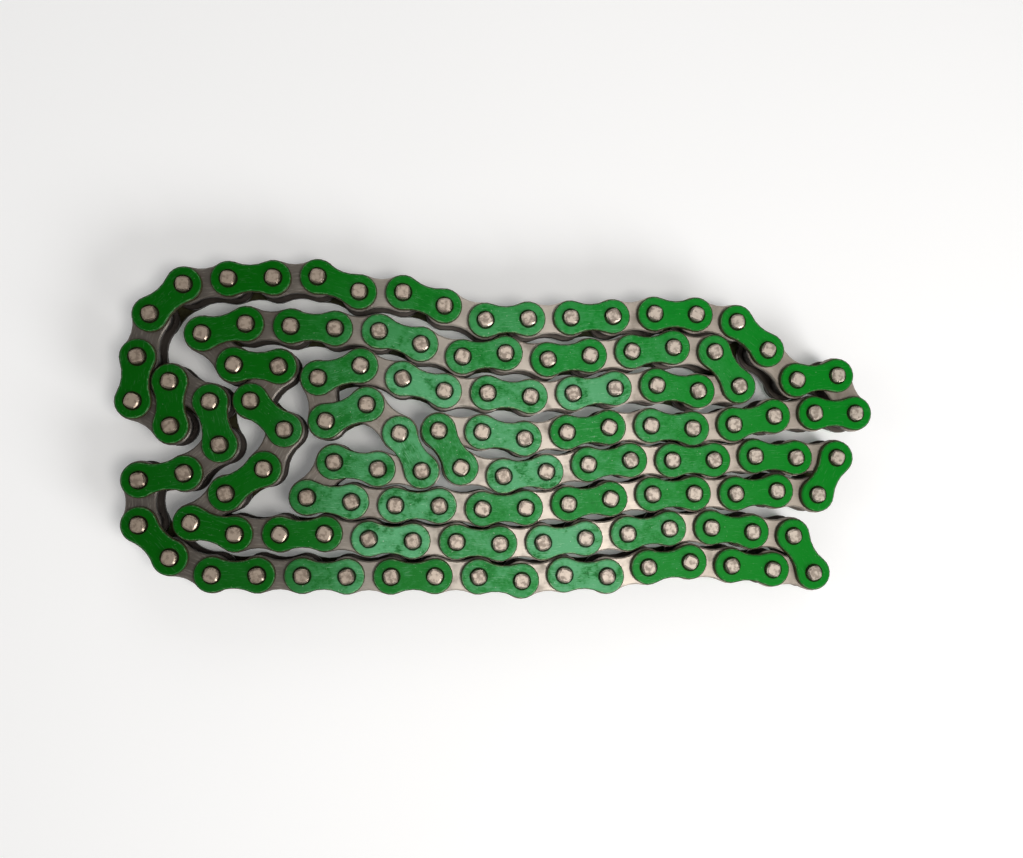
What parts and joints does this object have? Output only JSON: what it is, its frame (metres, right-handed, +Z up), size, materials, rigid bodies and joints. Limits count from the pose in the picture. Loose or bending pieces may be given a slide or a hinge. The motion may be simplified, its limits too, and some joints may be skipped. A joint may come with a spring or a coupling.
{
  "type": "roller chain",
  "caption": "Closed loop of roller chain with green outer plates, lying on its side in a tight folded pile, for driving sprockets.",
  "frame": {"origin": "middle of the pile, on the surface that it lies on", "axes": "+X along the rows, +Y across the rows towards the top row, +Z up along the pins"},
  "size_m": [0.2236, 0.0991, 0.0186],
  "materials": {
    "green_paint": "gloss green enamel with an oil film",
    "nickel_plate": "warm nickel plate",
    "dark_steel": "oiled dark steel",
    "bright_steel": "bright riveted pin end"
  },
  "bodies": {
    "packed_rows": {"left_curl": "green_paint", "top_row_left": "green_paint", "top_row_right": "green_paint", "fourth_row": "green_paint", "fifth_row": "green_paint", "sixth_row_right": "green_paint", "sixth_row_left": "green_paint", "inner_fold": "green_paint", "third_row": "green_paint", "second_row_right": "green_paint", "second_row_left": "green_paint", "left_bend": "green_paint", "seventh_row_left": "green_paint", "seventh_row_right": "green_paint"},
    "curl_link_1": {"inner_plate_1_upper": "nickel_plate", "inner_plate_1_lower": "nickel_plate", "bush_1": "dark_steel", "bush_2": "dark_steel"},
    "roller_body_1": {"roller_1": "dark_steel"},
    "roller_body_2": {"roller_2": "dark_steel"},
    "connecting_link": {"connecting_plate": "green_paint", "cover_plate": "green_paint", "connecting_pin_1": "bright_steel", "connecting_pin_0_lower_end": "bright_steel", "connecting_pin_0_upper_end": "bright_steel"},
    "clip": {"spring_clip": "bright_steel"},
    "link_110": {"outer_link_110": "green_paint"},
    "link_111": {"inner_link_111": "nickel_plate"},
    "link_112": {"outer_link_112": "green_paint"},
    "link_113": {"inner_link_113": "nickel_plate"},
    "link_114": {"outer_link_114": "green_paint"},
    "link_115": {"inner_link_115": "nickel_plate"},
    "link_116": {"outer_link_116": "green_paint"},
    "link_117": {"inner_link_117": "nickel_plate"},
    "link_118": {"outer_link_118": "green_paint"},
    "link_119": {"inner_link_119": "nickel_plate"},
    "link_120": {"outer_link_120": "green_paint"},
    "link_121": {"inner_link_121": "nickel_plate"},
    "link_122": {"outer_link_122": "green_paint"},
    "link_123": {"inner_link_123": "nickel_plate"},
    "link_124": {"outer_plate_124_upper": "green_paint", "outer_plate_124_lower": "green_paint", "pin_124": "bright_steel", "pin_125": "bright_steel"},
    "link_125": {"inner_plate_125_upper": "nickel_plate", "inner_plate_125_lower": "nickel_plate", "bush_125": "dark_steel", "bush_126": "dark_steel"},
    "link_126": {"outer_plate_126_upper": "green_paint", "outer_plate_126_lower": "green_paint", "pin_126": "bright_steel", "pin_127": "bright_steel"},
    "link_127": {"inner_plate_127_upper": "nickel_plate", "inner_plate_127_lower": "nickel_plate", "bush_127": "dark_steel", "bush_0": "dark_steel"},
    "roller_body_125": {"roller_125": "dark_steel"},
    "roller_body_126": {"roller_126": "dark_steel"},
    "roller_body_127": {"roller_127": "dark_steel"},
    "roller_body_0": {"roller_0": "dark_steel"}
  },
  "joints": [
    {"name": "hinge_2", "type": "hinge", "parent": "packed_rows", "child": "curl_link_1", "pos_m": [-0.08224, -0.00459, 0.00932], "axis": [0, 0, 1], "range_deg": [-8, 3]},
    {"name": "roller_spin_1", "type": "hinge", "parent": "curl_link_1", "child": "roller_body_1", "pos_m": [-0.09202, -0.01269, 0.00932], "axis": [0, 0, 1], "continuous": true},
    {"name": "roller_spin_2", "type": "hinge", "parent": "curl_link_1", "child": "roller_body_2", "pos_m": [-0.08224, -0.00459, 0.00932], "axis": [0, 0, 1], "continuous": true},
    {"name": "hinge_1", "type": "hinge", "parent": "curl_link_1", "child": "connecting_link", "pos_m": [-0.09202, -0.01269, 0.00932], "axis": [0, 0, 1], "range_deg": [-22, 8]},
    {"name": "clip_slide", "type": "slide", "parent": "connecting_link", "child": "clip", "axis": [-0.9879, -0.1548, 0], "range_m": [0, 0.007]},
    {"name": "hinge_110", "type": "hinge", "parent": "packed_rows", "child": "link_110", "pos_m": [0.08686, -0.03169, 0.00932], "axis": [0, 0, 1], "range_deg": [0, 65]},
    {"name": "hinge_111", "type": "hinge", "parent": "link_110", "child": "link_111", "pos_m": [0.093, -0.04281, 0.00932], "axis": [0, 0, -1], "range_deg": [-105, 0]},
    {"name": "hinge_112", "type": "hinge", "parent": "link_111", "child": "link_112", "pos_m": [0.08035, -0.04169, 0.00932], "axis": [0, 0, 1], "range_deg": [0, 45]},
    {"name": "hinge_113", "type": "hinge", "parent": "link_112", "child": "link_113", "pos_m": [0.06771, -0.04044, 0.00932], "axis": [0, 0, -1], "range_deg": [-55, 0]},
    {"name": "hinge_114", "type": "hinge", "parent": "link_113", "child": "link_114", "pos_m": [0.05507, -0.03925, 0.00932], "axis": [0, 0, 1], "range_deg": [0, 50]},
    {"name": "hinge_115", "type": "hinge", "parent": "link_114", "child": "link_115", "pos_m": [0.04245, -0.0407, 0.00932], "axis": [0, 0, -1], "range_deg": [-50, 0]},
    {"name": "hinge_116", "type": "hinge", "parent": "link_115", "child": "link_116", "pos_m": [0.03, -0.04322, 0.00932], "axis": [0, 0, 1], "range_deg": [0, 50]},
    {"name": "hinge_117", "type": "hinge", "parent": "link_116", "child": "link_117", "pos_m": [0.01732, -0.04269, 0.00932], "axis": [0, 0, -1], "range_deg": [-40, 0]},
    {"name": "hinge_118", "type": "hinge", "parent": "link_117", "child": "link_118", "pos_m": [0.00472, -0.04431, 0.00932], "axis": [0, 0, 1], "range_deg": [0, 50]},
    {"name": "hinge_119", "type": "hinge", "parent": "link_118", "child": "link_119", "pos_m": [-0.00791, -0.04298, 0.00932], "axis": [0, 0, -1], "range_deg": [-50, 0]},
    {"name": "hinge_120", "type": "hinge", "parent": "link_119", "child": "link_120", "pos_m": [-0.02061, -0.0427, 0.00932], "axis": [0, 0, 1], "range_deg": [0, 50]},
    {"name": "hinge_121", "type": "hinge", "parent": "link_120", "child": "link_121", "pos_m": [-0.03331, -0.04269, 0.00932], "axis": [0, 0, -1], "range_deg": [-55, 0]},
    {"name": "hinge_122", "type": "hinge", "parent": "link_121", "child": "link_122", "pos_m": [-0.04601, -0.04251, 0.00932], "axis": [0, 0, 1], "range_deg": [0, 60]},
    {"name": "hinge_123", "type": "hinge", "parent": "link_122", "child": "link_123", "pos_m": [-0.0587, -0.04218, 0.00932], "axis": [0, 0, -1], "range_deg": [-75, 0]},
    {"name": "hinge_124", "type": "hinge", "parent": "link_123", "child": "link_124", "pos_m": [-0.0714, -0.0419, 0.00932], "axis": [0, 0, 1], "range_deg": [0, 85]},
    {"name": "hinge_125", "type": "hinge", "parent": "link_124", "child": "link_125", "pos_m": [-0.0841, -0.04164, 0.00932], "axis": [0, 0, -1], "range_deg": [-100, 0]},
    {"name": "hinge_126", "type": "hinge", "parent": "link_125", "child": "link_126", "pos_m": [-0.09578, -0.03666, 0.00932], "axis": [0, 0, 1], "range_deg": [0, 110]},
    {"name": "hinge_127", "type": "hinge", "parent": "link_126", "child": "link_127", "pos_m": [-0.10443, -0.02736, 0.00932], "axis": [0, 0, -1], "range_deg": [-110, 0]},
    {"name": "roller_spin_125", "type": "hinge", "parent": "link_125", "child": "roller_body_125", "pos_m": [-0.0841, -0.04164, 0.00932], "axis": [0, 0, 1], "continuous": true},
    {"name": "roller_spin_126", "type": "hinge", "parent": "link_125", "child": "roller_body_126", "pos_m": [-0.09578, -0.03666, 0.00932], "axis": [0, 0, 1], "continuous": true},
    {"name": "roller_spin_127", "type": "hinge", "parent": "link_127", "child": "roller_body_127", "pos_m": [-0.10443, -0.02736, 0.00932], "axis": [0, 0, 1], "continuous": true},
    {"name": "roller_spin_0", "type": "hinge", "parent": "link_127", "child": "roller_body_0", "pos_m": [-0.10456, -0.01466, 0.00932], "axis": [0, 0, 1], "continuous": true}
  ]
}
